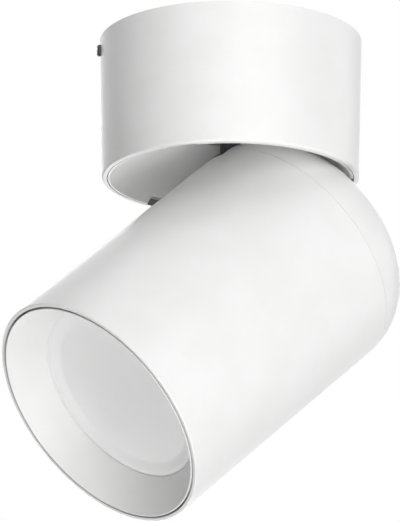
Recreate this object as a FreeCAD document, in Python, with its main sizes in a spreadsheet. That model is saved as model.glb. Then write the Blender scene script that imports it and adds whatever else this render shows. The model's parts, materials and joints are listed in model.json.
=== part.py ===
"""Surface mounted ceiling spotlight: a drum canopy, a friction swivel and a domed cylinder head.

The origin is the centre of the ceiling face and +Z points up into the ceiling. The canopy hooks
on to its ceiling strap at +X and is held by one side screw at -X. The head hangs from one pivot
on the canopy's axis. The head's own frame has its origin at that pivot, +Z backwards to the dome
and -X to the side it tilts to.
"""
import FreeCAD, Part
import math
import os
import re
import Sketcher

# name, value in millimetres or degrees
SIZES = (
    # canopy: a tapered drum, open at the ceiling and at the mouth
    ("canopy_radius", 50.0),
    ("rim_draft", 1.3),
    ("canopy_height", 54.2),
    ("canopy_wall", 1.9),
    ("rim_rounding", 0.9),
    ("lug_inset", 6.2),
    ("lug_radius", 3.8),
    ("lug_length", 8.0),
    # mounting plate on the ceiling
    ("plate_gauge", 1.5),
    ("plate_width", 20.0),
    ("plate_gap", 3.8),
    ("tab_drop", 9.0),
    ("tab_bend", 2.5),
    ("hook_gap", 7.0),
    ("hook_reach", 3.4),
    ("hook_drop", 9.0),
    ("ledge_reach", 6.0),
    ("ledge_half_width", 6.0),
    ("ledge_height", 4.0),
    ("slot_spacing", 60.0),
    ("slot_width", 4.5),
    ("slot_length", 12.0),
    ("cable_hole_radius", 5.0),
    ("earth_screw_offset", 14.0),
    ("earth_screw_radius", 2.0),
    ("earth_head_radius", 3.8),
    ("earth_head", 2.4),
    # carrier plate that takes the weight of the head
    ("carrier_depth", 29.5),
    ("carrier_gauge", 1.5),
    ("carrier_gap", 0.5),
    ("stop_tab_height", 3.0),
    ("stop_tab_gauge", 1.2),
    ("stop_tab_inner", 8.6),
    ("stop_tab_outer", 11.6),
    # dish in the mouth, concentric with the dome
    ("dish_gap", 2.0),
    ("dish_wall", 1.0),
    ("dish_rim_gap", 0.3),
    ("dish_skirt", 8.0),
    ("well_radius", 14.0),
    ("notch_width", 12.0),
    ("notch_height", 2.8),
    ("notch_reach", 4.2),
    ("dish_lip", 0.69),
    # driver and terminals above the carrier plate
    ("driver_width", 20.0),
    ("driver_length", 46.0),
    ("driver_height", 22.0),
    ("driver_margin", 12.0),
    ("driver_rounding", 2.5),
    ("driver_ear", 6.0),
    ("driver_ear_width", 8.0),
    ("driver_ear_gauge", 2.0),
    ("terminal_width", 15.0),
    ("terminal_height", 13.0),
    ("terminal_pitch", 9.0),
    ("terminal_inset", 19.0),
    ("terminal_wall", 1.4),
    ("terminal_hole_radius", 2.0),
    ("terminal_well_depth", 5.0),
    ("terminal_screw", 3.0),
    # swivel
    ("stem_radius", 4.0),
    ("stem_bore_radius", 2.75),
    ("stem_window_radius", 2.0),
    ("stem_window_height", 18.0),
    ("stem_flange_radius", 10.0),
    ("stem_flange", 2.2),
    ("stem_thread_proud", 2.0),
    ("bush_radius", 6.1),
    ("bush_flange_radius", 11.0),
    ("bush_flange", 1.2),
    ("bush_proud", 0.2),
    ("friction_washer", 0.6),
    ("stop_washer", 1.0),
    ("stop_washer_radius", 8.0),
    ("stop_arm_width", 1.4),
    ("stop_arm_reach", 11.4),
    ("swivel_spring", 1.2),
    ("swivel_spring_radius", 7.6),
    ("spring_gauge", 0.7),
    ("swivel_nut", 5.0),
    ("swivel_nut_flats", 13.0),
    ("running_fit", 0.05),
    ("bolt_fit", 0.1),
    # pivot
    ("knuckle_half_width", 6.0),
    ("knuckle_radius", 7.0),
    ("knuckle_height", 14.0),
    ("knuckle_seat", 5.0),
    ("pivot_bolt_radius", 2.5),
    ("pivot_washer", 0.8),
    ("pivot_head", 3.5),
    ("pivot_spring", 1.2),
    ("pivot_spring_radius", 5.0),
    ("pivot_nut", 4.0),
    ("pivot_nut_flats", 8.0),
    ("bolt_proud", 1.5),
    ("pan_angle", 25.0),
    ("tilt_angle", 49.0),
    # head: tube, dome and what they hold, measured from the pivot along the head's axis
    ("head_radius", 47.4),
    ("head_wall", 1.6),
    ("front_reach", 75.7),
    ("front_chamfer", 0.3),
    ("seam_back", 34.7),
    ("seam_groove", 0.2),
    ("dome_radius", 65.3),
    ("dome_wall", 1.8),
    ("spigot_depth", 3.0),
    ("spigot_root", 5.0),
    ("spigot_wall", 1.8),
    ("spigot_gap", 0.2),
    ("stem_slot_gap", 0.8),
    ("tube_notch", 2.5),
    ("head_lug_inset", 7.4),
    ("head_lug_radius", 3.8),
    ("head_lug_length", 4.0),
    ("head_lug_set", 4.0),
    ("boss_radius", 3.4),
    ("boss_hole_depth", 10.0),
    # bracket in the head that holds the pivot bolt
    ("bracket_gauge", 1.5),
    ("bracket_width", 16.0),
    ("bracket_reach", 12.0),
    ("bracket_lug_length", 8.0),
    ("bracket_gap", 1.6),
    ("bracket_corner", 3.0),
    ("bracket_wire_hole", 4.0),
    # heat sink, light engine and front
    ("sink_set", 31.3),
    ("sink_base", 4.0),
    ("sink_gap", 0.5),
    ("sink_hub_radius", 13.0),
    ("fin_gap", 9.8),
    ("fin_height", 18.4),
    ("fin_gauge", 1.6),
    ("wire_hole_radius", 3.0),
    ("sink_lug_inset", 6.1),
    ("sink_lug_radius", 3.4),
    ("board_gauge", 1.6),
    ("board_screw_circle", 18.0),
    ("emitter_length", 3.5),
    ("emitter_width", 2.8),
    ("emitter_height", 0.7),
    ("inner_emitter_circle", 10.5),
    ("outer_emitter_circle", 25.5),
    ("spacer_wall", 2.2),
    ("spacer_gap", 0.4),
    ("lens_inset", 11.8),
    ("lens_seat", 2.8),
    ("lens_depth", 12.5),
    ("diffuser_gauge", 1.6),
    ("diffuser_band", 2.8),
    ("diffuser_dish", 4.2),
    ("diffuser_bend", 4.5),
    ("diffuser_edge", 0.6),
    ("collar_gap", 0.5),
    ("collar_wall", 1.2),
    ("collar_lip", 0.6),
    ("collar_edge", 0.25),
    ("collar_foot", 0.8),
    ("collar_rounding", 0.4),
    ("collar_root", 3.0),
    # fasteners: M2.5 side screws, M3 screws elsewhere
    ("side_screw_depth", 5.0),
    ("side_screw_radius", 1.25),
    ("side_head_radius", 2.3),
    ("side_head", 1.3),
    ("side_screw_length", 6.0),
    ("screw_radius", 1.5),
    ("screw_head_radius", 2.5),
    ("screw_head", 1.8),
    ("screw_fit", 0.08),
    ("tip_clearance", 1.0),
    ("small_rounding", 1.0),
)

LUGS = 3
SINK_FINS = 20
INNER_EMITTERS = 6
OUTER_EMITTERS = 15
TERMINALS = 3

# places that several pieces share, as formulas of the sizes above
RIM = "(canopy_radius - rim_draft)"
LUG_CIRCLE = "(canopy_radius - rim_draft - lug_inset)"
TAB = "(canopy_radius - plate_gap)"
HOOK = "(canopy_radius - hook_gap)"
LEDGE = "(canopy_radius - ledge_reach)"
CARRIER_UNDER = "(carrier_depth + carrier_gauge)"
BUSH_UNDER = "(carrier_depth + carrier_gauge + dish_wall + bush_flange)"
FLANGE_TOP = "(carrier_depth + carrier_gauge + dish_wall + bush_flange + friction_washer)"
BUSH_TOP = "(carrier_depth - bush_proud)"
NUT_UNDER = "(carrier_depth - bush_proud - stop_washer - swivel_spring)"
STEM_TOP = "(carrier_depth - bush_proud - stop_washer - swivel_spring - swivel_nut - stem_thread_proud)"
DISH_INNER = "(dome_radius + dish_gap)"
DISH_OUTER = "(dome_radius + dish_gap + dish_wall)"
DISH_SIDE = "(canopy_radius - rim_draft - canopy_wall - dish_rim_gap)"
PIVOT = "(canopy_height + sqrt(%s^2 - (%s - dish_lip)^2))" % (DISH_INNER, DISH_SIDE)
SHOULDER = "((dome_radius^2 - seam_back^2 - head_radius^2) / (2 * (dome_radius - head_radius)))"
TUBE_BORE = "(head_radius - head_wall)"
STEM_SLOT = "(stem_radius + stem_slot_gap)"
HEAD_LUGS = "(head_radius - head_lug_inset)"
SINK_LUGS = "(head_radius - sink_lug_inset)"
BOSS_FOOT = "(seam_back - head_lug_set)"
BOSS_EDGE = "(%s + boss_radius - head_radius + %s)" % (HEAD_LUGS, SHOULDER)
BOSS_RISE = "sqrt((%s - dome_wall / 2)^2 - %s^2)" % (SHOULDER, BOSS_EDGE)
BRACKET_END = "(head_radius - head_wall - bracket_gap)"
EAR_INNER = "(knuckle_half_width + pivot_washer)"
EAR_OUTER = "(knuckle_half_width + pivot_washer + bracket_gauge)"
SINK_FACE = "(front_reach - sink_set)"
FIN_END = "(head_radius - head_wall - fin_gap)"
LENS = "(head_radius - lens_inset)"
SPACER = "(head_radius - lens_inset + lens_seat)"
BOARD = "(head_radius - lens_inset + lens_seat - spacer_wall - spacer_gap)"
FLAT = "(head_radius - lens_inset - diffuser_band)"
LENS_PLANE = "(front_reach - lens_depth + collar_foot)"
RIM_FACE = "(front_reach - lens_depth)"
COLLAR_OUTER = "(head_radius - head_wall - collar_gap)"
SIDE_DROP = "((side_screw_depth - side_head_radius) / canopy_height)"
SIDE_SEAT = "(canopy_radius - rim_draft * %s)" % SIDE_DROP
SCREW_HOLE = "(screw_radius + screw_fit)"
SCREW = ("screw_radius", "screw_head_radius", "screw_head")
DRIVER_INSET = "(canopy_radius - driver_margin - driver_width)"
DRIVER_MIDDLE = "(canopy_radius - driver_margin - driver_width / 2)"
DRIVER_SCREW = "(driver_length / 2 + driver_ear / 2)"
TERMINAL_MIDDLE = "-(terminal_inset + terminal_width / 2)"
TERMINAL_WIRE = "(terminal_hole_radius + terminal_wall - carrier_depth)"

DOC = FreeCAD.newDocument("CeilingSpotlight")
SHEET = DOC.addObject("Spreadsheet::Sheet", "Sizes")
NAMES = {name for name, size in SIZES}
PARTS = []
UP = FreeCAD.Vector(0, 0, 1)


def fill_sheet():
    """One row for each driving dimension, with its name as the alias of the cell."""
    for row, (name, size) in enumerate(SIZES, start=1):
        SHEET.set("A%d" % row, name)
        SHEET.set("B%d" % row, str(size))
        SHEET.setAlias("B%d" % row, name)
    DOC.recompute()


def formula(text):
    """The text with every size written as a cell of the sheet."""
    return re.sub(r"[a-z_]{3,}", lambda word: prefixed(word.group()), text)


def prefixed(word):
    return "Sizes." + word if word in NAMES else word


def number(text):
    return float(SHEET.evalExpression(formula(text)))


def bind(thing, target, text):
    thing.setExpression(target, formula(text))


# ---------------------------------------------------------------- bodies and sketches

SWIVEL_TURN = "rotation(vector(0; 0; 1); pan_angle)"
HEAD_TURN = SWIVEL_TURN + " * rotation(vector(0; 1; 0); tilt_angle)"
PLACES = {
    "canopy": None,
    "swivel": "placement(vector(0; 0; 0); %s)" % SWIVEL_TURN,
    "knuckle": "placement(vector(0; 0; -%s); %s)" % (PIVOT, SWIVEL_TURN),
    "head": "placement(vector(0; 0; -%s); %s)" % (PIVOT, HEAD_TURN),
}


def new_body(label, place):
    """An empty body that stands in the frame of the canopy, the swivel, the knuckle or the head."""
    body = DOC.addObject("PartDesign::Body", label)
    body.Label = label
    if PLACES[place]:
        bind(body, "Placement", PLACES[place])
    PARTS.append(body)
    return body


def datum(body, role):
    return next(item for item in body.Origin.OriginFeatures if item.Role == role)


def new_sketch(body, role, offset=None):
    """A sketch on one of the body's own planes, moved along the plane's normal by offset."""
    sketch = body.newObject("Sketcher::SketchObject", body.Label + "_sketch")
    sketch.AttachmentSupport = [(datum(body, role), "")]
    sketch.MapMode = "FlatFace"
    if offset:
        bind(sketch, "AttachmentOffset.Base.z", offset)
    return sketch


def constrain(sketch, kind, edge, end, text):
    """A bound distance from the sketch's origin to a point, or a bound radius."""
    if kind == "Radius":
        constraint = Sketcher.Constraint(kind, edge, number(text))
    else:
        constraint = Sketcher.Constraint(kind, -1, 1, edge, end, number(text))
    bind(sketch, "Constraints[%d]" % sketch.addConstraint(constraint), text)


def pin(sketch, edge, end, corner):
    """Holds a point at a corner; a coordinate of None is left to the arc that meets it."""
    for kind, text in zip(("DistanceX", "DistanceY"), corner):
        if text is not None:
            constrain(sketch, kind, edge, end, text)


def on_arc(centre, radius, corner):
    """The corner as numbers, with its missing coordinate found on the arc's circle."""
    middle = [number(text) for text in centre]
    known = [None if text is None else number(text) for text in corner]
    if known[0] is None:
        known[0] = middle[0] + math.sqrt(radius ** 2 - (known[1] - middle[1]) ** 2)
    elif known[1] is None:
        known[1] = middle[1] + math.sqrt(radius ** 2 - (known[0] - middle[0]) ** 2)
    return known


def arc_radius(arc, ends):
    """The arc's radius: its own, or the distance from its centre to the end that is known."""
    centre, radius = arc
    if radius:
        return number(radius)
    corner = next(end for end in ends if None not in end)
    return math.dist([number(text) for text in centre], [number(text) for text in corner[:2]])


def locate(corners, arcs):
    """Every corner as a point of numbers."""
    spots = []
    count = len(corners)
    for index, corner in enumerate(corners):
        spot = corner[:2]
        if None in spot:
            edge = index if index in arcs else (index - 1) % count
            ends = (corners[edge], corners[(edge + 1) % count])
            spot = on_arc(arcs[edge][0], arc_radius(arcs[edge], ends), spot)
        else:
            spot = [number(text) for text in spot]
        spots.append(FreeCAD.Vector(spot[0], spot[1], 0))
    return spots


def add_arc(sketch, middle, start, end):
    """Adds the short arc from start to end, or the left-hand half circle; names its two ends."""
    first = math.atan2(start.y - middle.y, start.x - middle.x)
    last = math.atan2(end.y - middle.y, end.x - middle.x)
    turn = (last - first + math.pi) % (2 * math.pi) - math.pi
    forward = turn > 0 or turn < -math.pi + 0.001
    ring_line = Part.Circle(middle, UP, (start - middle).Length)
    low, high = (first, last) if forward else (last, first)
    sketch.addGeometry(Part.ArcOfCircle(ring_line, low, high), False)
    return (1, 2) if forward else (2, 1)


def arc_middle(centre, start, end):
    """The arc's centre as a point; a coordinate of None is midway between the arc's ends."""
    across = (start.x + end.x) / 2 if centre[0] is None else number(centre[0])
    along = (start.y + end.y) / 2 if centre[1] is None else number(centre[1])
    return FreeCAD.Vector(across, along, 0)


def rounding(before, spot, after, radius):
    """Where a rounded corner leaves its two sides, the rounding's centre, and its direction."""
    inward = (spot - before).normalize()
    outward = (after - spot).normalize()
    turn = math.atan2(inward.x * outward.y - inward.y * outward.x, inward.dot(outward))
    reach = radius * math.tan(abs(turn) / 2)
    side = FreeCAD.Vector(-inward.y, inward.x, 0) * math.copysign(radius, turn)
    start = spot - inward * reach
    return start, spot + outward * reach, start + side


def outline(sketch, corners, arcs=None):
    """A closed outline through the corners, each a pair of formulas and perhaps a rounding.

    arcs says which edges are arcs: the number of the edge's first corner, with the arc's
    centre and its radius, where the corners don't already set the radius.
    """
    arcs = arcs or {}
    spots = locate(corners, arcs)
    count = len(corners)
    base = sketch.GeometryCount
    leave = {}
    for index, corner in enumerate(corners):
        if len(corner) == 3:
            around_spot = (spots[index - 1], spots[index], spots[(index + 1) % count])
            leave[index] = rounding(*around_spot, number(corner[2]))
    ends = []
    for index in range(count):
        after = (index + 1) % count
        start = leave[index][1] if index in leave else spots[index]
        end = leave[after][0] if after in leave else spots[after]
        if index in arcs:
            ends.append(add_arc(sketch, arc_middle(arcs[index][0], start, end), start, end))
        else:
            sketch.addGeometry(Part.LineSegment(start, end), False)
            ends.append((1, 2))
    for index, corner in enumerate(corners):
        before = (index - 1) % count
        edges = (base + before, ends[before][1], base + index, ends[index][0])
        if index in leave:
            round_corner(sketch, corner, spots[index], leave[index], edges)
        else:
            sketch.addConstraint(Sketcher.Constraint("Coincident", *edges))
            pin(sketch, base + index, ends[index][0], corner)
    for index, (centre, radius) in arcs.items():
        pin(sketch, base + index, 3, centre)
        if radius:
            constrain(sketch, "Radius", base + index, 0, radius)


def round_corner(sketch, corner, spot, leave, edges):
    """An arc tangent to both sides, whose sides still meet at the corner itself."""
    start, end, middle = leave
    names = add_arc(sketch, middle, start, end)
    arc = sketch.GeometryCount - 1
    sketch.addConstraint(Sketcher.Constraint("Tangent", edges[0], edges[1], arc, names[0]))
    sketch.addConstraint(Sketcher.Constraint("Tangent", arc, names[1], edges[2], edges[3]))
    constrain(sketch, "Radius", arc, 0, corner[2])
    meeting = sketch.addGeometry(Part.Point(spot), True)
    sketch.addConstraint(Sketcher.Constraint("PointOnObject", meeting, 1, edges[0]))
    sketch.addConstraint(Sketcher.Constraint("PointOnObject", meeting, 1, edges[2]))
    pin(sketch, meeting, 1, corner)


def circle(sketch, centre, radius):
    middle = FreeCAD.Vector(number(centre[0]), number(centre[1]), 0)
    edge = sketch.addGeometry(Part.Circle(middle, UP, number(radius)), False)
    pin(sketch, edge, 3, centre)
    constrain(sketch, "Radius", edge, 0, radius)


def box_outline(sketch, low_x, high_x, low_y, high_y, corner=None):
    corners = [(low_x, low_y), (high_x, low_y), (high_x, high_y), (low_x, high_y)]
    outline(sketch, [spot + (corner,) for spot in corners] if corner else corners)


def hexagon(sketch, flats):
    """A hexagon about the origin, with the given size across its flats."""
    side = "%s / 2" % flats
    half = "%s / sqrt(12)" % flats
    tip = "%s / sqrt(3)" % flats
    corners = [(side, "-" + half), (side, half), ("0", tip)]
    outline(sketch, corners + [("-" + side, half), ("-" + side, "-" + half), ("0", "-" + tip)])


def capsule(sketch, low, high, half):
    """A slot with round ends about (low, 0) and (high, 0)."""
    corners = [(low, "-" + half), (high, "-" + half), (high, half), (low, half)]
    outline(sketch, corners, {1: ((high, None), None), 3: ((low, None), None)})


# ---------------------------------------------------------------- features

def feature(body, kind, sketch):
    item = body.newObject("PartDesign::" + kind, body.Label + "_" + kind.lower())
    item.Profile = sketch
    sketch.Visibility = False
    return item


def turned(body, sketch, axis="V_Axis"):
    """A solid turned from the sketch about its upright axis."""
    item = feature(body, "Revolution", sketch)
    item.ReferenceAxis = (sketch, [axis])
    item.Angle = 360
    return item


def pad(body, sketch, length, backwards=False, both_sides=False):
    item = feature(body, "Pad", sketch)
    bind(item, "Length", length)
    item.Reversed = backwards
    item.SideType = "Symmetric" if both_sides else "One side"
    return item


def pocket(body, sketch, length, backwards=False, both_sides=False):
    """A cut along the sketch's normal, or against it when backwards."""
    item = feature(body, "Pocket", sketch)
    bind(item, "Length", length)
    item.Reversed = not backwards
    item.SideType = "Symmetric" if both_sides else "One side"
    return item


def around(body, features, count):
    """Repeats features round the body's own Z axis."""
    item = body.newObject("PartDesign::PolarPattern", body.Label + "_pattern")
    item.Originals = features
    item.Axis = (datum(body, "Z_Axis"), [""])
    item.Angle = 360
    item.Occurrences = count
    body.Tip = item
    return item


def mirrored(body, features, role):
    """Repeats features on the other side of one of the body's own planes."""
    item = body.newObject("PartDesign::Mirrored", body.Label + "_mirror")
    item.Originals = features
    item.MirrorPlane = (datum(body, role), [""])
    body.Tip = item
    return item


def ring(body, inner, outer, low, high):
    """A turned ring between two radii and two heights."""
    sketch = new_sketch(body, "XZ_Plane")
    box_outline(sketch, inner, outer, low, high)
    return turned(body, sketch)


def plain_ring(label, place, inner, outer, low, high):
    """A washer, bush or disc that is a plain ring."""
    body = new_body(label, place)
    ring(body, inner, outer, low, high)
    return body


def disc(body, radius, low, high):
    sketch = new_sketch(body, "XZ_Plane")
    box_outline(sketch, "0", radius, low, high)
    return turned(body, sketch)


def lug(body, pitch, nose, wall, low, length, on_y=False):
    """A screw lug with a round nose on its pitch circle, joined to the wall outside it."""
    sketch = new_sketch(body, "XY_Plane", low)
    if on_y:
        corners = [(nose, wall), ("-" + nose, wall), ("-" + nose, pitch), (nose, pitch)]
        outline(sketch, corners, {2: ((None, pitch), None)})
        circle(sketch, ("0", pitch), SCREW_HOLE)
    else:
        corners = [(wall, "-" + nose), (wall, nose), (pitch, nose), (pitch, "-" + nose)]
        outline(sketch, corners, {2: ((pitch, None), None)})
        circle(sketch, (pitch, "0"), SCREW_HOLE)
    return pad(body, sketch, length)


def ring_holes(body, pitch, low, depth, count):
    """Screw holes on a pitch circle, cut upwards from low."""
    sketch = new_sketch(body, "XY_Plane", low)
    circle(sketch, (pitch, "0"), SCREW_HOLE)
    return around(body, [pocket(body, sketch, depth)], count)


def screw_outline(sketch, across, seat, sizes, up):
    """Half a pan head screw on the line x = across, with its head above or below the seat."""
    radius, head_radius, head, length = sizes
    to_head, to_tip = ("+", "-") if up else ("-", "+")
    top = "%s %s %s" % (seat, to_head, head)
    waist = "%s %s %s / 2" % (seat, to_head, head)
    tip = "%s %s (%s)" % (seat, to_tip, length)
    crown = "%s + %s * 0.7" % (across, head_radius)
    side = "%s + %s" % (across, head_radius)
    shank = "%s + %s" % (across, radius)
    corners = [(across, top), (crown, top), (side, waist), (side, seat)]
    outline(sketch, corners + [(shank, seat), (shank, tip), (across, tip)])
    ends = [FreeCAD.Vector(number(across), number(text), 0) for text in (tip, top)]
    axis = sketch.addGeometry(Part.LineSegment(*ends), True)
    pin(sketch, axis, 1, (across, tip))
    pin(sketch, axis, 2, (across, top))


def ring_screws(label, place, across, seat, up, length, count, plane="XZ_Plane"):
    """Pan head screws along Z on a circle round the axis, the first in the given plane."""
    body = new_body(label, place)
    sketch = new_sketch(body, plane)
    screw_outline(sketch, across, seat, SCREW + (length,), up)
    around(body, [turned(body, sketch, axis="Axis0")], count)
    return body


# ---------------------------------------------------------------- canopy, fixed to the ceiling

def mounting_plate():
    """Steel strap on the ceiling: a tab for the side screw at -X, a hook for the drum at +X."""
    body = new_body("mounting_plate", "canopy")
    strap = new_sketch(body, "XZ_Plane")
    tab, inner, hook = TAB, "(" + TAB + " - plate_gauge)", "(" + HOOK + " - plate_gauge)"
    crease, lip = "tab_bend - plate_gauge", "plate_gauge - hook_drop"
    corners = [("-" + tab, "-tab_drop"), ("-" + inner, "-tab_drop"), ("-" + inner, "-plate_gauge", crease)]
    corners += [(hook, "-plate_gauge", crease), (hook, "-hook_drop"), (HOOK + " + hook_reach", "-hook_drop")]
    corners += [(HOOK + " + hook_reach", lip), (HOOK, lip)]
    outline(strap, corners + [(HOOK, "0", "tab_bend"), ("-" + tab, "0", "tab_bend")])
    pad(body, strap, "plate_width", both_sides=True)
    holes = new_sketch(body, "XY_Plane")
    reach = "(slot_length - slot_width) / 2"
    capsule(holes, "slot_spacing / 2 - " + reach, "slot_spacing / 2 + " + reach, "slot_width / 2")
    capsule(holes, "-slot_spacing / 2 - " + reach, "-slot_spacing / 2 + " + reach, "slot_width / 2")
    circle(holes, ("0", "0"), "cable_hole_radius")
    circle(holes, ("earth_screw_offset", "0"), "earth_screw_radius + screw_fit")
    pocket(body, holes, "2 * plate_gauge", both_sides=True)
    side = new_sketch(body, "YZ_Plane")
    circle(side, ("0", "-side_screw_depth"), "side_screw_radius + screw_fit")
    pocket(body, side, "2 * " + TAB, backwards=True)


def earth_screw():
    """The earth terminal of the mounting plate, with its head under the strap."""
    body = new_body("earth_screw", "canopy")
    sketch = new_sketch(body, "XZ_Plane")
    sizes = ("earth_screw_radius", "earth_head_radius", "earth_head", "plate_gauge")
    screw_outline(sketch, "earth_screw_offset", "-plate_gauge", sizes, up=False)
    turned(body, sketch, axis="Axis0")


def canopy_housing():
    """Tapered drum with a rounded rim, lugs for the carrier plate and a ledge for the hook."""
    body = new_body("canopy_housing", "canopy")
    wall = new_sketch(body, "XZ_Plane")
    corners = [(RIM + " - canopy_wall", "-canopy_height"), (RIM, "-canopy_height", "rim_rounding")]
    outline(wall, corners + [("canopy_radius", "0"), ("canopy_radius - canopy_wall", "0")])
    turned(body, wall)
    into_wall = RIM + " - canopy_wall / 2"
    first = lug(body, LUG_CIRCLE, "lug_radius", into_wall, "-carrier_depth", "lug_length")
    around(body, [first], LUGS)
    ledge = new_sketch(body, "XY_Plane", "plate_gauge - hook_drop")
    wide = "ledge_half_width"
    box_outline(ledge, LEDGE, "canopy_radius - canopy_wall / 2", "-" + wide, wide)
    pad(body, ledge, "ledge_height")
    side = new_sketch(body, "YZ_Plane")
    circle(side, ("0", "-side_screw_depth"), "side_screw_radius + screw_fit")
    pocket(body, side, "2 * canopy_radius", backwards=True)


def side_screw():
    """The screw through the drum into the tab of the mounting plate."""
    body = new_body("side_screw", "canopy")
    sketch = new_sketch(body, "XZ_Plane")
    level, seat = "-side_screw_depth", "-" + SIDE_SEAT
    tip, top = seat + " + side_screw_length", seat + " - side_head"
    edge, shank = level + " + side_head_radius", level + " + side_screw_radius"
    corners = [(tip, level), (top, level), (top, level + " + side_head_radius * 0.75")]
    outline(sketch, corners + [(seat + " - side_head / 2", edge), (seat, edge), (seat, shank), (tip, shank)])
    ends = [FreeCAD.Vector(number(text), number(level), 0) for text in (tip, top)]
    axis = sketch.addGeometry(Part.LineSegment(*ends), True)
    pin(sketch, axis, 1, (tip, level))
    pin(sketch, axis, 2, (top, level))
    turned(body, sketch, axis="Axis0")


def carrier_plate():
    """Steel disc that carries the swivel, with the pressed-up tab that stops the turn."""
    body = new_body("carrier_plate", "canopy")
    edge = RIM + " - canopy_wall - carrier_gap"
    ring(body, "bush_radius + bolt_fit", edge, "-" + CARRIER_UNDER, "-carrier_depth")
    tab = new_sketch(body, "XY_Plane", "-carrier_depth")
    half = "stop_tab_gauge / 2"
    box_outline(tab, "stop_tab_inner", "stop_tab_outer", "-" + half, half)
    pad(body, tab, "stop_tab_height")
    holes = new_sketch(body, "XY_Plane", "-" + CARRIER_UNDER)
    circle(holes, (DRIVER_MIDDLE, DRIVER_SCREW), SCREW_HOLE)
    circle(holes, (DRIVER_MIDDLE, "-" + DRIVER_SCREW), SCREW_HOLE)
    pocket(body, holes, "2 * carrier_gauge")
    ring_holes(body, LUG_CIRCLE, "-" + CARRIER_UNDER, "2 * carrier_gauge", LUGS)


def carrier_screws():
    length = "carrier_gauge + lug_length - tip_clearance"
    ring_screws("carrier_screws", "canopy", LUG_CIRCLE, "-" + CARRIER_UNDER, False, length, LUGS)


def inner_dish():
    """Liner of the mouth: a bowl concentric with the dome, with a well for the swivel's flanges."""
    body = new_body("inner_dish", "canopy")
    sketch = new_sketch(body, "XZ_Plane")
    hole, top, roof = "bush_radius + bolt_fit", "-" + CARRIER_UNDER, "-(%s + dish_wall)" % CARRIER_UNDER
    rim, crown = "-canopy_height", "dish_skirt - canopy_height"
    inside, skirt = "well_radius - dish_wall", DISH_SIDE + " - dish_wall"
    corners = [(hole, roof), (inside, roof), (inside, None), (None, rim), (DISH_SIDE, rim)]
    corners += [(DISH_SIDE, crown), (skirt, crown), (skirt, None)]
    corners += [("well_radius", None), ("well_radius", top), (hole, top)]
    pivot = ("0", "-" + PIVOT)
    outline(sketch, corners, {2: (pivot, DISH_INNER), 7: (pivot, DISH_OUTER)})
    turned(body, sketch)
    notch = new_sketch(body, "XY_Plane", rim)
    half = "notch_width / 2"
    box_outline(notch, DISH_SIDE + " - notch_reach", "canopy_radius", "-" + half, half)
    around(body, [pocket(body, notch, "notch_height")], LUGS)


def swivel_bush():
    """Flanged bush in the carrier plate; its flange clamps the dish."""
    body = new_body("swivel_bush", "canopy")
    sketch = new_sketch(body, "XZ_Plane")
    bore, seat = "stem_radius + running_fit", "-(%s + dish_wall)" % CARRIER_UNDER
    under, top = "-" + BUSH_UNDER, "-" + BUSH_TOP
    corners = [(bore, under), ("bush_flange_radius", under), ("bush_flange_radius", seat)]
    outline(sketch, corners + [("bush_radius", seat), ("bush_radius", top), (bore, top)])
    turned(body, sketch)


def led_driver():
    """Closed plastic driver on the carrier plate, with a screw ear at each end."""
    body = new_body("led_driver", "canopy")
    case = new_sketch(body, "XY_Plane", "-carrier_depth")
    half = "driver_length / 2"
    far = DRIVER_INSET + " + driver_width"
    box_outline(case, DRIVER_INSET, far, "-" + half, half, "driver_rounding")
    pad(body, case, "driver_height")
    ears = new_sketch(body, "XY_Plane", "-carrier_depth")
    low, high = DRIVER_MIDDLE + " - driver_ear_width / 2", DRIVER_MIDDLE + " + driver_ear_width / 2"
    end = "(driver_length / 2 + driver_ear)"
    box_outline(ears, low, high, "-" + end, end, "small_rounding")
    pad(body, ears, "driver_ear_gauge")
    holes = new_sketch(body, "XY_Plane", "-carrier_depth")
    circle(holes, (DRIVER_MIDDLE, DRIVER_SCREW), SCREW_HOLE)
    circle(holes, (DRIVER_MIDDLE, "-" + DRIVER_SCREW), SCREW_HOLE)
    pocket(body, holes, "driver_ear_gauge")


def driver_screws():
    body = new_body("driver_screws", "canopy")
    sketch = new_sketch(body, "XZ_Plane", "-" + DRIVER_SCREW)
    sizes = SCREW + ("driver_ear_gauge + carrier_gauge",)
    screw_outline(sketch, DRIVER_MIDDLE, "driver_ear_gauge - carrier_depth", sizes, up=True)
    mirrored(body, [turned(body, sketch, axis="Axis0")], "XZ_Plane")


def terminal_block():
    """Three-pole block on the carrier plate: a wire hole and a screw well for each pole."""
    body = new_body("terminal_block", "canopy")
    base = new_sketch(body, "XY_Plane", "-carrier_depth")
    half = "(terminal_pitch * %d / 2)" % TERMINALS
    far, near = "-(terminal_inset + terminal_width)", "-terminal_inset"
    box_outline(base, far, near, "-" + half, half, "small_rounding")
    pad(body, base, "terminal_height")
    wires = new_sketch(body, "YZ_Plane", far)
    wells = new_sketch(body, "XY_Plane", "terminal_height - carrier_depth")
    for pole in range(TERMINALS):
        place = "terminal_pitch * %d" % (pole - TERMINALS // 2)
        circle(wires, (place, TERMINAL_WIRE), "terminal_hole_radius")
        circle(wells, (TERMINAL_MIDDLE, place), "terminal_hole_radius + screw_fit")
    pocket(body, wires, "terminal_width")
    pocket(body, wells, "terminal_well_depth", backwards=True)


def terminal_screws():
    body = new_body("terminal_screws", "canopy")
    sketch = new_sketch(body, "XY_Plane", "terminal_height - terminal_well_depth - carrier_depth")
    for pole in range(TERMINALS):
        place = "terminal_pitch * %d" % (pole - TERMINALS // 2)
        circle(sketch, (TERMINAL_MIDDLE, place), "terminal_hole_radius")
    pad(body, sketch, "terminal_screw")


# ---------------------------------------------------------------- swivel, turns about the canopy's axis

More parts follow.
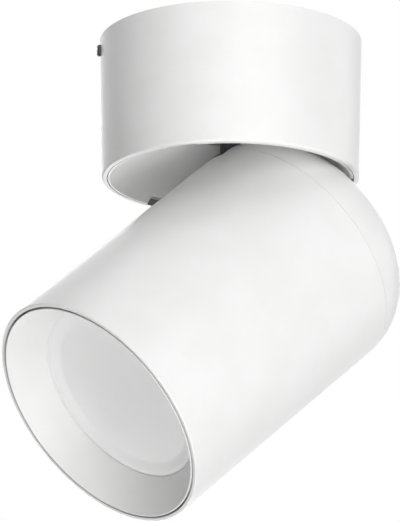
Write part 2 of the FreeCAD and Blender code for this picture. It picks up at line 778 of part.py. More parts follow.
def swivel_stem():
    """Hollow stem with a flange, a threaded top and a window for the wires above the knuckle."""
    body = new_body("swivel_stem", "swivel")
    sketch = new_sketch(body, "XZ_Plane")
    bore, foot, flange = "stem_bore_radius", "knuckle_seat - " + PIVOT, "-(%s + stem_flange)" % FLANGE_TOP
    corners = [(bore, foot), ("stem_radius", foot), ("stem_radius", flange), ("stem_flange_radius", flange)]
    corners += [("stem_flange_radius", "-" + FLANGE_TOP), ("stem_radius", "-" + FLANGE_TOP)]
    outline(sketch, corners + [("stem_radius", "-" + STEM_TOP), (bore, "-" + STEM_TOP)])
    turned(body, sketch)
    window = new_sketch(body, "YZ_Plane")
    circle(window, ("0", "stem_window_height - " + PIVOT), "stem_window_radius")
    pocket(body, window, "2 * stem_radius")


def friction_washer():
    inner, low, high = "stem_radius + bolt_fit", "-" + FLANGE_TOP, "-" + BUSH_UNDER
    plain_ring("friction_washer", "swivel", inner, "stem_flange_radius", low, high)


def stop_washer():
    """Washer on the stem, with the arm that meets the tab of the carrier plate."""
    body = new_body("stop_washer", "swivel")
    low = "-" + BUSH_TOP
    ring(body, "stem_radius + bolt_fit", "stop_washer_radius", low, low + " + stop_washer")
    arm = new_sketch(body, "XY_Plane", low)
    half = "stop_arm_width / 2"
    box_outline(arm, "-stop_arm_reach", "-stop_washer_radius * 0.8", "-" + half, half)
    pad(body, arm, "stop_washer")


def cone_spring(body, plane, axis, across, along, bore, radius, lift):
    """A conical disc spring: its outer edge at along, its bore lifted away from it."""
    sketch = new_sketch(body, plane)
    corners = [(radius, along), (radius, along + " + spring_gauge"), (bore, "%s + %s" % (along, lift))]
    corners += [(bore, "%s + %s - spring_gauge" % (along, lift))]
    if across:
        corners = [("-(%s)" % y, x) for x, y in corners]
    outline(sketch, corners)
    return turned(body, sketch, axis=axis)


def swivel_spring():
    body = new_body("swivel_spring", "swivel")
    along = "-%s + stop_washer" % BUSH_TOP
    bore = "stem_radius + bolt_fit"
    cone_spring(body, "XZ_Plane", "V_Axis", False, along, bore, "swivel_spring_radius", "swivel_spring")


def swivel_nut():
    body = new_body("swivel_nut", "swivel")
    sketch = new_sketch(body, "XY_Plane", "-" + NUT_UNDER)
    hexagon(sketch, "swivel_nut_flats")
    circle(sketch, ("0", "0"), "stem_radius + running_fit")
    pad(body, sketch, "swivel_nut")


def pivot_knuckle():
    """Eye on the foot of the stem: round under the pivot, with a socket for the stem."""
    body = new_body("pivot_knuckle", "knuckle")
    side = new_sketch(body, "XZ_Plane")
    corners = [("knuckle_radius", "0"), ("knuckle_radius", "knuckle_height")]
    corners += [("-knuckle_radius", "knuckle_height"), ("-knuckle_radius", "0")]
    outline(side, corners, {3: ((None, "0"), None)})
    pad(body, side, "2 * knuckle_half_width", both_sides=True)
    socket = new_sketch(body, "XY_Plane", "knuckle_height")
    circle(socket, ("0", "0"), "stem_radius + running_fit")
    pocket(body, socket, "knuckle_height - knuckle_seat", backwards=True)
    eye = new_sketch(body, "XZ_Plane")
    circle(eye, ("0", "0"), "pivot_bolt_radius + running_fit")
    pocket(body, eye, "3 * knuckle_half_width", both_sides=True)


# ---------------------------------------------------------------- head, tilts about the pivot

def head_tube():
    """Straight tube with a chamfered front edge, screw lugs inside and a notch for the stem."""
    body = new_body("head_tube", "head")
    wall = new_sketch(body, "XZ_Plane")
    edge, front = "front_chamfer", "-front_reach"
    corners = [(TUBE_BORE + " + " + edge, front), ("head_radius - " + edge, front)]
    corners += [("head_radius", "%s + %s" % (front, edge)), ("head_radius", "seam_back - seam_groove")]
    corners += [("head_radius - seam_groove", "seam_back"), (TUBE_BORE, "seam_back")]
    outline(wall, corners + [(TUBE_BORE, "%s + %s" % (front, edge))])
    turned(body, wall)
    into_wall = "head_radius - head_wall / 2"
    foot = "seam_back - head_lug_set - head_lug_length"
    first = lug(body, HEAD_LUGS, "head_lug_radius", into_wall, foot, "head_lug_length")
    around(body, [first], LUGS)
    face = "sink_base - " + SINK_FACE
    first = lug(body, SINK_LUGS, "sink_lug_radius", into_wall, face, "bracket_lug_length")
    around(body, [first], LUGS)
    low = "-(bracket_reach + bracket_gauge + bracket_lug_length)"
    first = lug(body, HEAD_LUGS, "head_lug_radius", into_wall, low, "bracket_lug_length", on_y=True)
    around(body, [first], 2)
    notch = new_sketch(body, "XY_Plane", "seam_back - tube_notch")
    box_outline(notch, "-head_radius * 1.1", "-head_radius * 0.8", "-" + STEM_SLOT, STEM_SLOT)
    pocket(body, notch, "2 * tube_notch")


def rear_dome():
    """Dome concentric with the pivot, blended into the tube, and slotted for the stem."""
    body = new_body("rear_dome", "head")
    shell = new_sketch(body, "XZ_Plane")
    share = "(head_radius - %s) / (dome_radius - %s)" % (SHOULDER, SHOULDER)
    rise = "seam_back / (dome_radius - %s)" % SHOULDER
    outer = ("dome_radius * " + share, "dome_radius * " + rise)
    inner = ("(dome_radius - dome_wall) * " + share, "(dome_radius - dome_wall) * " + rise)
    corners = [(None, "seam_back"), (None, "seam_back"), outer, ("0", None), ("0", None), inner]
    shoulder, pivot = ("head_radius - " + SHOULDER, "seam_back"), ("0", "0")
    arcs = {1: (shoulder, None), 2: (pivot, None), 4: (pivot, None), 5: (shoulder, None)}
    outline(shell, corners, arcs)
    turned(body, shell)
    side = TUBE_BORE + " - spigot_gap"
    ring(body, side + " - spigot_wall", side, "seam_back - spigot_depth", "seam_back + spigot_root")
    post = new_sketch(body, "XY_Plane", BOSS_FOOT)
    circle(post, (HEAD_LUGS, "0"), "boss_radius")
    boss = pad(body, post, "head_lug_set + " + BOSS_RISE)
    drill = new_sketch(body, "XY_Plane", BOSS_FOOT)
    circle(drill, (HEAD_LUGS, "0"), SCREW_HOLE)
    around(body, [boss, pocket(body, drill, "boss_hole_depth")], LUGS)
    slot = new_sketch(body, "XY_Plane")
    capsule(slot, "-dome_radius", "0", STEM_SLOT)
    pocket(body, slot, "2 * dome_radius")


def dome_screws():
    seat = "seam_back - head_lug_set - head_lug_length"
    length = "head_lug_length + boss_hole_depth - tip_clearance"
    ring_screws("dome_screws", "head", HEAD_LUGS, seat, False, length, LUGS)


def pivot_bracket():
    """Strap across the tube with two ears bent back to the pivot bolt."""
    body = new_body("pivot_bracket", "head")
    strap = new_sketch(body, "XY_Plane", "-(bracket_reach + bracket_gauge)")
    half = "bracket_width / 2"
    box_outline(strap, "-" + half, half, "-" + BRACKET_END, BRACKET_END, "bracket_corner")
    circle(strap, ("0", "0"), "bracket_wire_hole")
    circle(strap, ("0", HEAD_LUGS), SCREW_HOLE)
    circle(strap, ("0", "-" + HEAD_LUGS), SCREW_HOLE)
    pad(body, strap, "bracket_gauge")
    ear = new_sketch(body, "XZ_Plane", EAR_INNER)
    foot = "-(bracket_reach + bracket_gauge)"
    corners = [("-knuckle_radius", foot), ("knuckle_radius", foot), ("knuckle_radius", "0")]
    outline(ear, corners + [("-knuckle_radius", "0")], {2: ((None, "0"), None)})
    circle(ear, ("0", "0"), "pivot_bolt_radius + bolt_fit")
    mirrored(body, [pad(body, ear, "bracket_gauge")], "XZ_Plane")


def bracket_screws():
    length = "bracket_gauge + bracket_lug_length - tip_clearance"
    ring_screws("bracket_screws", "head", HEAD_LUGS, "-bracket_reach", True, length, 2, "YZ_Plane")


def pivot_bolt():
    """Hexagon bolt across both ears and the knuckle."""
    body = new_body("pivot_bolt", "head")
    shank = new_sketch(body, "XZ_Plane", "-" + EAR_OUTER)
    circle(shank, ("0", "0"), "pivot_bolt_radius")
    pad(body, shank, "2 * %s + pivot_spring + pivot_nut + bolt_proud" % EAR_OUTER)
    head = new_sketch(body, "XZ_Plane", "-" + EAR_OUTER)
    hexagon(head, "pivot_nut_flats")
    pad(body, head, "pivot_head", backwards=True)


def pivot_washers():
    body = new_body("pivot_washers", "head")
    sketch = new_sketch(body, "XZ_Plane", "knuckle_half_width")
    circle(sketch, ("0", "0"), "knuckle_radius")
    circle(sketch, ("0", "0"), "pivot_bolt_radius + bolt_fit")
    mirrored(body, [pad(body, sketch, "pivot_washer")], "XZ_Plane")


def pivot_spring():
    body = new_body("pivot_spring", "head")
    bore = "pivot_bolt_radius + bolt_fit"
    cone_spring(body, "YZ_Plane", "H_Axis", True, EAR_OUTER, bore, "pivot_spring_radius", "pivot_spring")


def pivot_nut():
    body = new_body("pivot_nut", "head")
    sketch = new_sketch(body, "XZ_Plane", EAR_OUTER + " + pivot_spring")
    hexagon(sketch, "pivot_nut_flats")
    circle(sketch, ("0", "0"), "pivot_bolt_radius + running_fit")
    pad(body, sketch, "pivot_nut")


def heat_sink():
    """Round base behind the light engine, with a hub and radial fins towards the pivot."""
    body = new_body("heat_sink", "head")
    back = "(sink_base - " + SINK_FACE + ")"
    disc(body, TUBE_BORE + " - sink_gap", "-" + SINK_FACE, back)
    disc(body, "sink_hub_radius", back, back + " + fin_height")
    fin = new_sketch(body, "XY_Plane", back)
    half = "fin_gauge / 2"
    box_outline(fin, "sink_hub_radius * 0.9", FIN_END, "-" + half, half)
    around(body, [pad(body, fin, "fin_height")], SINK_FINS)
    wires = new_sketch(body, "XY_Plane", "-" + SINK_FACE)
    circle(wires, ("0", "0"), "wire_hole_radius")
    pocket(body, wires, "2 * (sink_base + fin_height)")
    ring_holes(body, SINK_LUGS, "-" + SINK_FACE, "2 * sink_base", LUGS)
    ring_holes(body, "board_screw_circle", "-" + SINK_FACE, "sink_base", LUGS)


def heat_sink_screws():
    length = "sink_base + bracket_lug_length - tip_clearance"
    ring_screws("heat_sink_screws", "head", SINK_LUGS, "-" + SINK_FACE, False, length, LUGS)


def led_board():
    body = new_body("led_board", "head")
    face = "-(" + SINK_FACE + " + board_gauge)"
    ring(body, "wire_hole_radius", BOARD, face, "-" + SINK_FACE)
    ring_holes(body, "board_screw_circle", face, "2 * board_gauge", LUGS)


def led_emitters():
    """Light-emitting packages on two circles of the board."""
    body = new_body("led_emitters", "head")
    for pitch, count in (("inner_emitter_circle", INNER_EMITTERS), ("outer_emitter_circle", OUTER_EMITTERS)):
        sketch = new_sketch(body, "XY_Plane", "-(" + SINK_FACE + " + board_gauge + emitter_height)")
        low, high = pitch + " - emitter_width / 2", pitch + " + emitter_width / 2"
        box_outline(sketch, low, high, "-emitter_length / 2", "emitter_length / 2")
        around(body, [pad(body, sketch, "emitter_height")], count)


def board_screws():
    seat, length = "-(" + SINK_FACE + " + board_gauge)", "board_gauge + sink_base - tip_clearance"
    ring_screws("board_screws", "head", "board_screw_circle", seat, False, length, LUGS)


def spacer_ring():
    inner, low = BOARD + " + spacer_gap", "diffuser_gauge - " + RIM_FACE
    plain_ring("spacer_ring", "head", inner, SPACER, low, "-" + SINK_FACE)


def diffuser():
    """Frosted diffuser: a flat rim under the collar and a shallow dish inside it."""
    body = new_body("diffuser", "head")
    sketch = new_sketch(body, "XZ_Plane")
    face, back = "-" + RIM_FACE, "diffuser_gauge - " + RIM_FACE
    floor, under = face + " + diffuser_dish", back + " + diffuser_dish"
    rim, foot = LENS + " + diffuser_gauge * 0.3", FLAT + " + diffuser_gauge * 0.45"
    corners = [("0", floor), (FLAT, floor, "diffuser_bend"), (LENS, face, "diffuser_edge")]
    corners += [(SPACER, face), (SPACER, back), (rim, back), (foot, under, "diffuser_edge")]
    outline(sketch, corners + [("0", under)])
    turned(body, sketch)


def collar():
    """Conical front collar whose skirt stands on the heat sink and whose foot holds the diffuser."""
    body = new_body("collar", "head")
    sketch = new_sketch(body, "XZ_Plane")
    front, back, skirt = "-front_reach", "-" + SINK_FACE, COLLAR_OUTER + " - collar_wall"
    corners = [(LENS, "-" + LENS_PLANE, "collar_rounding"), (COLLAR_OUTER + " - collar_lip", front)]
    corners += [(COLLAR_OUTER, front, "collar_edge"), (COLLAR_OUTER, back), (skirt, back)]
    corners += [(skirt, front + " + collar_root"), (SPACER, "-" + RIM_FACE)]
    outline(sketch, corners + [(LENS, "-" + RIM_FACE)])
    turned(body, sketch)


# ---------------------------------------------------------------- the whole lamp

CANOPY_PARTS = (mounting_plate, earth_screw, canopy_housing, side_screw, carrier_plate, carrier_screws)
INSIDE_PARTS = (inner_dish, swivel_bush, led_driver, driver_screws, terminal_block, terminal_screws)
SWIVEL_PARTS = (swivel_stem, friction_washer, stop_washer, swivel_spring, swivel_nut, pivot_knuckle)
HEAD_PARTS = (head_tube, rear_dome, dome_screws, pivot_bracket, bracket_screws)
PIVOT_PARTS = (pivot_bolt, pivot_washers, pivot_spring, pivot_nut)
LIGHT_PARTS = (heat_sink, heat_sink_screws, led_board, led_emitters, board_screws)
FRONT_PARTS = (spacer_ring, diffuser, collar)


def check_document():
    """Stops if any object failed, or if a cut or a groove removed nothing."""
    for item in DOC.Objects:
        if "Invalid" in item.State or "Error" in item.State:
            raise RuntimeError("%s failed: %s" % (item.Label, item.State))
        if item.TypeId in ("PartDesign::Pocket", "PartDesign::Groove"):
            before = item.BaseFeature.Shape.Volume
            if item.Shape.Volume > before - 0.01:
                raise RuntimeError("%s cuts nothing" % item.Label)
    for body in PARTS:
        if body.Shape.isNull() or not body.Shape.isValid():
            raise RuntimeError("%s has no valid shape" % body.Label)


def main():
    fill_sheet()
    canopy = CANOPY_PARTS + INSIDE_PARTS
    head = HEAD_PARTS + PIVOT_PARTS + LIGHT_PARTS + FRONT_PARTS
    for build in canopy + SWIVEL_PARTS + head:
        build()
    DOC.recompute()
    check_document()
    os.makedirs("parts", exist_ok=True)
    for body in PARTS:
        body.Shape.exportStep("parts/%s.step" % body.Label)
        print("%-18s %2d solids %10.1f mm3" % (body.Label, len(body.Shape.Solids), body.Shape.Volume))


main()
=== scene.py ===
import json
import math
import bpy
import bmesh
from mathutils import Matrix, Vector

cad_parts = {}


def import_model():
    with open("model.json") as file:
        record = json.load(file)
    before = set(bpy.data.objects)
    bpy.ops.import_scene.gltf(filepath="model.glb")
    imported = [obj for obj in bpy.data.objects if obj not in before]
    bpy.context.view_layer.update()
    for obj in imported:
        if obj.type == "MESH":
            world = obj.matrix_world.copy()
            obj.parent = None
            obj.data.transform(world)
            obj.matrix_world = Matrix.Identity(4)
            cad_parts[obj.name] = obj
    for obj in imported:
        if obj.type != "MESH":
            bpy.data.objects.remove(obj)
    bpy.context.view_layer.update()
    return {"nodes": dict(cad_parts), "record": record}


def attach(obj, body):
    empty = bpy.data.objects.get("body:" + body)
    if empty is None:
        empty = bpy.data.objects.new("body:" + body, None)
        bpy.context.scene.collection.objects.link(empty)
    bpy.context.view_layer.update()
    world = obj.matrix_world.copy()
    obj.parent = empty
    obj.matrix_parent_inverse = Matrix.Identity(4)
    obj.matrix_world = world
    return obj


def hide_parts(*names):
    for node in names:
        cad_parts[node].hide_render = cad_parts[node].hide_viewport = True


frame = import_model()
NODES = frame["nodes"]

# At rest: metres from the ceiling down to the head's pivot, and how far the head is panned and tilted.
PIVOT_DROP = 0.1035
PAN = math.radians(25)
TILT = math.radians(49)

# The head's own frame: origin at the pivot, +Z back to the dome, -X to the side it tilts to.
SWIVEL = Matrix.Rotation(PAN, 4, "Z")
HEAD = Matrix.Translation((0, 0, -PIVOT_DROP)) @ SWIVEL @ Matrix.Rotation(TILT, 4, "Y")


# ---------------------------------------------------------------- camera

# Lens and sensor in millimetres, place and clip range in metres, turns about X, Y and Z in degrees.
CAMERA_LENS = 418.4
CAMERA_SENSOR = 36
CAMERA_PLACE = (-0.19749, -1.67357, -0.56426)
CAMERA_TURNS = (105.8365, -0.2047, -6.3998)
CAMERA_RANGE = (0.1, 50)


def camera():
    """The photograph's view: from below, a little to the left, through a long lens."""
    data = bpy.data.cameras.new("camera")
    data.sensor_fit = "HORIZONTAL"
    data.sensor_width = CAMERA_SENSOR
    data.lens = CAMERA_LENS
    data.clip_start, data.clip_end = CAMERA_RANGE
    shot = bpy.data.objects.new("camera", data)
    shot.location = CAMERA_PLACE
    shot.rotation_euler = [math.radians(turn) for turn in CAMERA_TURNS]
    bpy.context.collection.objects.link(shot)
    bpy.context.scene.camera = shot


# ---------------------------------------------------------------- materials

# Stretches of a noise's values, 0 to 1: where two colours blend, and the part that most of it fills.
PATCH_BLEND = (0.35, 0.65)
NOISE_RANGE = (0.3, 0.7)

# How many finer layers a noise has: in slow patches, in a relief, and in the finest reliefs.
PATCH_DETAIL = 3.0
RELIEF_DETAIL = 4.0
FINE_DETAIL = 2.0

# A finish's two colours, its patches of them per metre, its least and greatest roughness, and where
# it has a relief, the grains per metre and their depth in metres. A stretch packs the grains closer
# along an axis.
FINISHES = {
    "white_plastic": dict(
        colours=((0.84, 0.84, 0.835), (0.86, 0.86, 0.856)),
        patches=50, rough=(0.38, 0.48), grains=2600, depth=0.000012),
    "zinc_steel": dict(
        colours=((0.50, 0.50, 0.49), (0.62, 0.62, 0.60)),
        patches=260, rough=(0.26, 0.42), grains=900, depth=0.00001, metal=1.0, stretch=(1, 6, 1)),
    "brass": dict(
        colours=((0.70, 0.52, 0.24), (0.80, 0.62, 0.32)),
        patches=300, rough=(0.22, 0.36), grains=1500, depth=0.000008, metal=1.0),
    "bare_aluminium": dict(
        colours=((0.62, 0.62, 0.63), (0.72, 0.72, 0.73)),
        patches=120, rough=(0.38, 0.55), grains=1800, depth=0.00003, metal=1.0),
    # Near-black steel: painted shade for steel pieces that sit in deep shadow.
    "shade_dark_steel": dict(
        colours=((0.05, 0.05, 0.052), (0.09, 0.09, 0.092)),
        patches=260, rough=(0.35, 0.5), grains=900, depth=0.00001, metal=1.0),
    "board": dict(
        colours=((0.78, 0.78, 0.76), (0.83, 0.83, 0.81)),
        patches=160, rough=(0.3, 0.42), grains=900, depth=0.00001),
    "emitter": dict(
        colours=((0.80, 0.62, 0.12), (0.90, 0.74, 0.22)),
        patches=900, rough=(0.3, 0.4), grains=4000, depth=0.00001),
    "fibre": dict(
        colours=((0.11, 0.08, 0.06), (0.20, 0.15, 0.11)),
        patches=1500, rough=(0.7, 0.85), grains=3000, depth=0.00003),
    "bead": dict(
        colours=((0.86, 0.86, 0.855), (0.88, 0.88, 0.876)),
        patches=80, rough=(0.12, 0.2)),
    "opal_plastic": dict(
        colours=((0.87, 0.87, 0.87), (0.90, 0.90, 0.898)),
        patches=40, rough=(0.36, 0.46), grains=3800, depth=0.00002,
        blend=NOISE_RANGE, detail=FINE_DETAIL),
}
FLOOR_PAINT = dict(colours=((0.80, 0.80, 0.80), (0.78, 0.78, 0.78)), patches=8, rough=(0.8, 0.85))

# How light goes into the frosted diffuser: its share, its reach in metres, and what part of that
# reach red, green and blue have.
SCATTER_SHARE = 0.35
SCATTER_REACH = 0.0015
SCATTER_COLOURS = (1.0, 1.0, 1.0)

# Powder coat on a casting: colours of the coat, how much the second colour of the shell's inside,
# which is painted dark as shade, is paler than its first, then patches, soft orange peel and fine
# grain per metre with depths in metres.
COAT_COLOURS = ((0.835, 0.835, 0.83), (0.86, 0.86, 0.858))
COAT_ROUGH = (0.40, 0.50)
COAT_PATCHES = 60
SHADE_INSIDE_PALER = (0.06, 0.06, 0.065)
PEEL_GRAINS = 1400
PEEL_DEPTH = 0.000035
COAT_GRAINS = 5200
COAT_DEPTH = 0.000012

# Distance from a shell's axis in metres, times the cosine between a surface and straight outward:
# below this value, the surface is the shell's inside.
FACES_IN = -0.004

# The colour sockets of a Mix node, which share their names with its sockets for other values.
MIX_FIRST = 6
MIX_SECOND = 7
MIX_RESULT = 2


def shader(name):
    """A new material with its nodes, its links and its main shader."""
    finish = bpy.data.materials.new(name)
    finish.use_nodes = True
    nodes = finish.node_tree.nodes
    return finish, nodes, finish.node_tree.links, nodes["Principled BSDF"]


def noise(nodes, links, scale, detail, stretch=None):
    """Noise over the object's own coordinates; scale is in features per metre."""
    source = nodes.new("ShaderNodeTexCoord").outputs["Object"]
    if stretch:
        mapping = nodes.new("ShaderNodeMapping")
        mapping.inputs["Scale"].default_value = stretch
        links.new(source, mapping.inputs["Vector"])
        source = mapping.outputs["Vector"]
    texture = nodes.new("ShaderNodeTexNoise")
    texture.inputs["Scale"].default_value = scale
    texture.inputs["Detail"].default_value = detail
    links.new(source, texture.inputs["Vector"])
    return texture.outputs["Fac"]


def ramp(nodes, links, value, blend, colours):
    """The first colour up to the start of the blend, the second from its end on."""
    stops = nodes.new("ShaderNodeValToRGB")
    for stop, position, colour in zip(stops.color_ramp.elements, blend, colours):
        stop.position = position
        stop.color = (*colour, 1)
    links.new(value, stops.inputs["Fac"])
    return stops.outputs["Color"]


def remap(nodes, links, value, before, after):
    """The value moved from one range of numbers to another."""
    step = nodes.new("ShaderNodeMapRange")
    for socket, bound in zip(("From Min", "From Max", "To Min", "To Max"), (*before, *after)):
        step.inputs[socket].default_value = bound
    links.new(value, step.inputs["Value"])
    return step.outputs["Result"]


def bump(nodes, links, height, depth, under=None):
    """A relief with a depth in metres, laid over another one where that is given."""
    relief = nodes.new("ShaderNodeBump")
    relief.inputs["Distance"].default_value = depth
    links.new(height, relief.inputs["Height"])
    if under is not None:
        links.new(under, relief.inputs["Normal"])
    return relief.outputs["Normal"]


def mottled(name, colours, patches, rough, grains=None, depth=0.0, metal=0.0, stretch=None,
            blend=PATCH_BLEND, detail=RELIEF_DETAIL):
    """A finish with slow colour patches, uneven gloss and, where given, a fine relief."""
    finish, nodes, links, shade = shader(name)
    uneven = noise(nodes, links, patches, PATCH_DETAIL)
    links.new(ramp(nodes, links, uneven, blend, colours), shade.inputs["Base Color"])
    shade.inputs["Metallic"].default_value = metal
    if grains:
        uneven = noise(nodes, links, grains, detail, stretch)
        links.new(bump(nodes, links, uneven, depth), shade.inputs["Normal"])
    links.new(remap(nodes, links, uneven, NOISE_RANGE, rough), shade.inputs["Roughness"])
    return finish


def vector_math(nodes, links, operation, first, second):
    """One step of vector arithmetic on sockets or fixed vectors."""
    step = nodes.new("ShaderNodeVectorMath")
    step.operation = operation
    for slot, value in enumerate((first, second)):
        if isinstance(value, Vector):
            step.inputs[slot].default_value = value
        else:
            links.new(value, step.inputs[slot])
    return step.outputs["Value" if operation == "DOT_PRODUCT" else "Vector"]


def inside(nodes, links, point, axis):
    """1 where a surface faces the axis of its hollow shell, 0 elsewhere, which marks where the painted
    shade inside goes; all in object space.
    """
    place = nodes.new("ShaderNodeTexCoord")
    away = vector_math(nodes, links, "SUBTRACT", place.outputs["Object"], point)
    along = vector_math(nodes, links, "PROJECT", away, axis)
    outward = vector_math(nodes, links, "SUBTRACT", away, along)
    facing = vector_math(nodes, links, "DOT_PRODUCT", place.outputs["Normal"], outward)
    inward = nodes.new("ShaderNodeMath")
    inward.operation = "LESS_THAN"
    inward.inputs[1].default_value = FACES_IN
    links.new(facing, inward.inputs[0])
    return inward.outputs["Value"]


def powder_coat(name, point, axis, inside_shade):
    """White powder coat with a fine orange peel; the shell's inside gets painted shade, a dark dull
    casting colour.
    """
    finish, nodes, links, shade = shader(name)
    tint = noise(nodes, links, COAT_PATCHES, PATCH_DETAIL)
    # The inside's two colours: painted shade for the shell's hollow and the gaps into it.
    shaded_inside = ((inside_shade, inside_shade, inside_shade), [inside_shade + paler for paler in SHADE_INSIDE_PALER])
    side = nodes.new("ShaderNodeMix")
    side.data_type = "RGBA"
    links.new(inside(nodes, links, point, axis), side.inputs["Factor"])
    links.new(ramp(nodes, links, tint, PATCH_BLEND, COAT_COLOURS), side.inputs[MIX_FIRST])
    links.new(ramp(nodes, links, tint, PATCH_BLEND, shaded_inside), side.inputs[MIX_SECOND])
    links.new(side.outputs[MIX_RESULT], shade.inputs["Base Color"])
    peel = noise(nodes, links, PEEL_GRAINS, FINE_DETAIL)
    grain = noise(nodes, links, COAT_GRAINS, FINE_DETAIL)
    soft = bump(nodes, links, peel, PEEL_DEPTH)
    links.new(bump(nodes, links, grain, COAT_DEPTH, soft), shade.inputs["Normal"])
    links.new(remap(nodes, links, peel, NOISE_RANGE, COAT_ROUGH), shade.inputs["Roughness"])
    return finish


def frost(finish):
    """Lets light a little way into the frosted diffuser, which makes it milky."""
    shade = finish.node_tree.nodes["Principled BSDF"]
    shade.inputs["Subsurface Weight"].default_value = SCATTER_SHARE
    shade.inputs["Subsurface Radius"].default_value = SCATTER_COLOURS
    shade.inputs["Subsurface Scale"].default_value = SCATTER_REACH


# ---------------------------------------------------------------- world, lights and floor

# Strength of the world where it lights the lamp; where it is seen, it is plain white.
WORLD_LEVEL = 0.04
WHITE = (1, 1, 1, 1)

# Name, degrees round from the camera's side and up from level, and power in watts.
LIGHTS = (
    ("low_left", -30, -60, 11.6),
    ("low_front", 0, -25, 2.2),
    ("low_right", 45, -25, 8.0),
    ("right", 22.5, 12, 7.8),
    ("side", 112.5, 12, 4.2),
    ("high_left", -30, 48, 4.5),
    ("top", 0, 85, 5.2),
    ("low_back", 180, -25, 7.5),
    ("back_left", -157.5, 12, 4.4),
    ("high_back", 180, 30, 5.5),
)

# The camera's side in degrees from straight in front, and the softboxes' aim, size and distance in metres.
CAMERA_SIDE = -6.73
LAMP_MIDDLE = Vector((0, 0, -0.09))
SOFTBOX_SIZE = 0.9
SOFTBOX_DISTANCE = 1.4

# The floor's strength where it is seen, its depth below the ceiling and half its width in metres, and
# its corners in half widths, in order round it.
FLOOR_GLOW = 0.85
FLOOR_DROP = 4.6
FLOOR_REACH = 9.0
FLOOR_CORNERS = ((-1, -1), (1, -1), (1, 1), (-1, 1))


def seen(nodes, links):
    """1 for what the camera, reflections and clear pieces show, 0 for light that falls on things."""
    path = nodes.new("ShaderNodeLightPath")
    shown = path.outputs["Is Camera Ray"]
    for kind in ("Is Glossy Ray", "Is Transmission Ray"):
        either = nodes.new("ShaderNodeMath")
        either.operation = "MAXIMUM"
        links.new(shown, either.inputs[0])
        links.new(path.outputs[kind], either.inputs[1])
        shown = either.outputs[0]
    return shown


def level(nodes, links, lighting, shown):
    """A strength with one value where the background lights things and another where it is seen."""
    return remap(nodes, links, seen(nodes, links), (0, 1), (lighting, shown))


def world():
    """Soft even light; what the camera and reflections see of it is plain white."""
    sky = bpy.data.worlds.new("studio")
    sky.use_nodes = True
    nodes, links = sky.node_tree.nodes, sky.node_tree.links
    shade = nodes["Background"]
    shade.inputs["Color"].default_value = WHITE
    links.new(level(nodes, links, WORLD_LEVEL, 1.0), shade.inputs["Strength"])
    bpy.context.scene.world = sky
    bpy.context.scene.view_settings.view_transform = "Standard"


def lights():
    """Square softboxes that face the middle of the lamp."""
    for name, azimuth, elevation, power in LIGHTS:
        turn = math.radians(azimuth + CAMERA_SIDE)
        rise = math.radians(elevation)
        across = math.cos(rise)
        towards = Vector((math.sin(turn) * across, -math.cos(turn) * across, math.sin(rise)))
        data = bpy.data.lights.new(name, "AREA")
        data.shape = "SQUARE"
        data.size = SOFTBOX_SIZE
        data.energy = power
        softbox = bpy.data.objects.new(name, data)
        softbox.location = LAMP_MIDDLE + towards * SOFTBOX_DISTANCE
        softbox.rotation_euler = towards.to_track_quat("Z", "Y").to_euler()
        softbox.visible_camera = False
        bpy.context.collection.objects.link(softbox)


def floor():
    """Pale floor far below, lifted to near white where it is seen; it adds no light."""
    mesh = bpy.data.meshes.new("floor")
    corners = [(x * FLOOR_REACH, y * FLOOR_REACH, -FLOOR_DROP) for x, y in FLOOR_CORNERS]
    mesh.from_pydata(corners, [], [(0, 1, 2, 3)])
    plane = bpy.data.objects.new("floor", mesh)
    bpy.context.collection.objects.link(plane)
    paint = mottled("floor_paint", **FLOOR_PAINT)
    nodes, links = paint.node_tree.nodes, paint.node_tree.links
    shade = nodes["Principled BSDF"]
    shade.inputs["Emission Color"].default_value = WHITE
    links.new(level(nodes, links, 0.0, FLOOR_GLOW), shade.inputs["Emission Strength"])
    mesh.materials.append(paint)


# ---------------------------------------------------------------- finishes on the solids

# A point on the axis of each powder-coated shell and the axis, at rest, and how pale its inside is:
# an unpainted inside, painted far darker than bare metal as shade for the hollow and its gaps.
CANOPY_SHELL = (Vector((0, 0, 0)), Vector((0, 0, 1)), 0.18)
HEAD_SHELL = (HEAD.translation, HEAD.col[2].to_3d(), 0.36)
SHELLS = {"canopy_housing": CANOPY_SHELL, "head_tube": HEAD_SHELL, "rear_dome": HEAD_SHELL}

# Steel pieces that the photograph shows nearly black, painted near black as painted shade for the deep
# shadow they sit in.
SHADE_DARKENED = ("swivel_stem", "pivot_knuckle", "side_screw")


def finishes():
    """Every finish by name."""
    made = {name: mottled(name, **look) for name, look in FINISHES.items()}
    frost(made["opal_plastic"])
    return made


def dress(finish):
    """Gives each CAD node its slot's finish, apart from the powder-coated shells, with painted shade
    inside, and the steel painted near black as shade.
    """
    slots = {part["node"]: part["material_slot"] for part in frame["record"]["subparts"]}
    for name, node in NODES.items():
        if name in SHELLS:
            look = powder_coat(name + "_paint", *SHELLS[name])
        elif name in SHADE_DARKENED:
            look = finish["shade_dark_steel"]
        else:
            look = finish[slots[name]]
        node.data.materials.clear()
        node.data.materials.append(look)


# ---------------------------------------------------------------- thin trim over the solids

# Steps round a turned piece, and how near two points are, in metres, when they are one.
AROUND = 256
WELD = 1e-7

# Radius of the bead on the collar's edge, in metres, and the steps round its section.
BEAD_RADIUS = 0.00032
BEAD_STEPS = 16

# The diffuser in metres: depth of its dish, thickness, how far inside the collar's opening its wall
# starts and ends, and the steps along that wall.
LENS_DISH = 0.0016
LENS_WALL = 0.0016
LENS_BAND = 0.0056
LENS_LIP = 0.0004
LENS_STEPS = 24


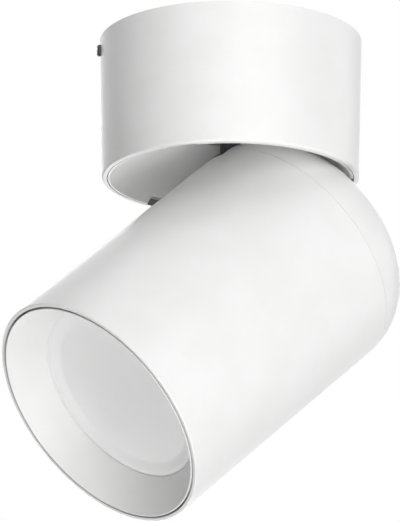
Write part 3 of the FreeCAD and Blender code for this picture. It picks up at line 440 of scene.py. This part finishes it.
def turned(name, profile, look):
    """Closed profile of (radius, height) points, turned about the head's axis."""
    mesh = bpy.data.meshes.new(name)
    shape = bmesh.new()
    rows = []
    for step in range(AROUND):
        turn = 2 * math.pi * step / AROUND
        x = math.cos(turn)
        y = math.sin(turn)
        points = [Vector((radius * x, radius * y, height)) for radius, height in profile]
        rows.append([shape.verts.new(HEAD @ point) for point in points])
    for here, ahead in zip(rows, rows[1:] + rows[:1]):
        for corner in range(len(profile)):
            beside = (corner + 1) % len(profile)
            face = shape.faces.new((here[corner], ahead[corner], ahead[beside], here[beside]))
            face.smooth = True
    bmesh.ops.remove_doubles(shape, verts=shape.verts, dist=WELD)
    bmesh.ops.dissolve_degenerate(shape, edges=shape.edges, dist=WELD)
    bmesh.ops.recalc_face_normals(shape, faces=shape.faces)
    shape.to_mesh(mesh)
    shape.free()
    piece = bpy.data.objects.new(name, mesh)
    bpy.context.collection.objects.link(piece)
    mesh.materials.append(look)
    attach(piece, "head")
    return piece


def extents(name):
    """Lowest height, smallest and largest radius of a node, in the head's own frame."""
    to_head = HEAD.inverted()
    points = [to_head @ corner.co for corner in NODES[name].data.vertices]
    radii = [math.hypot(point.x, point.y) for point in points]
    return min(point.z for point in points), min(radii), max(radii)


def trim(finish):
    """The rolled bead on the collar's outer edge, which catches the light beside the dark gap."""
    front, _, reach = extents("collar")
    middle = reach - BEAD_RADIUS
    height = front + BEAD_RADIUS / 2
    circle = []
    for step in range(BEAD_STEPS):
        turn = 2 * math.pi * step / BEAD_STEPS
        circle.append((middle + BEAD_RADIUS * math.cos(turn), height + BEAD_RADIUS * math.sin(turn)))
    turned("collar_bead", circle, finish["bead"])


def eased(share):
    """A share from 0 to 1 that sets off and arrives gently."""
    return share * share * (3 - 2 * share)


def lens(finish):
    """The frosted diffuser's moulded form: a shallow dish whose wall runs out softly into its floor."""
    _, opening, _ = extents("collar")
    face, _, rim = extents("diffuser")
    start = opening - LENS_BAND
    end = opening - LENS_LIP
    shares = [step / LENS_STEPS for step in range(LENS_STEPS + 1)]
    wall = [(start + (end - start) * share, face + LENS_DISH * (1 - eased(share))) for share in shares]
    front = [(0.0, face + LENS_DISH)] + wall + [(rim, face)]
    back = [(radius, height + LENS_WALL) for radius, height in reversed(front)]
    piece = turned("frosted_lens", front + back, finish["opal_plastic"])
    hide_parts("diffuser")


# ---------------------------------------------------------------- the scene

camera()
world()
lights()
floor()
FINISH = finishes()
dress(FINISH)
trim(FINISH)
lens(FINISH)
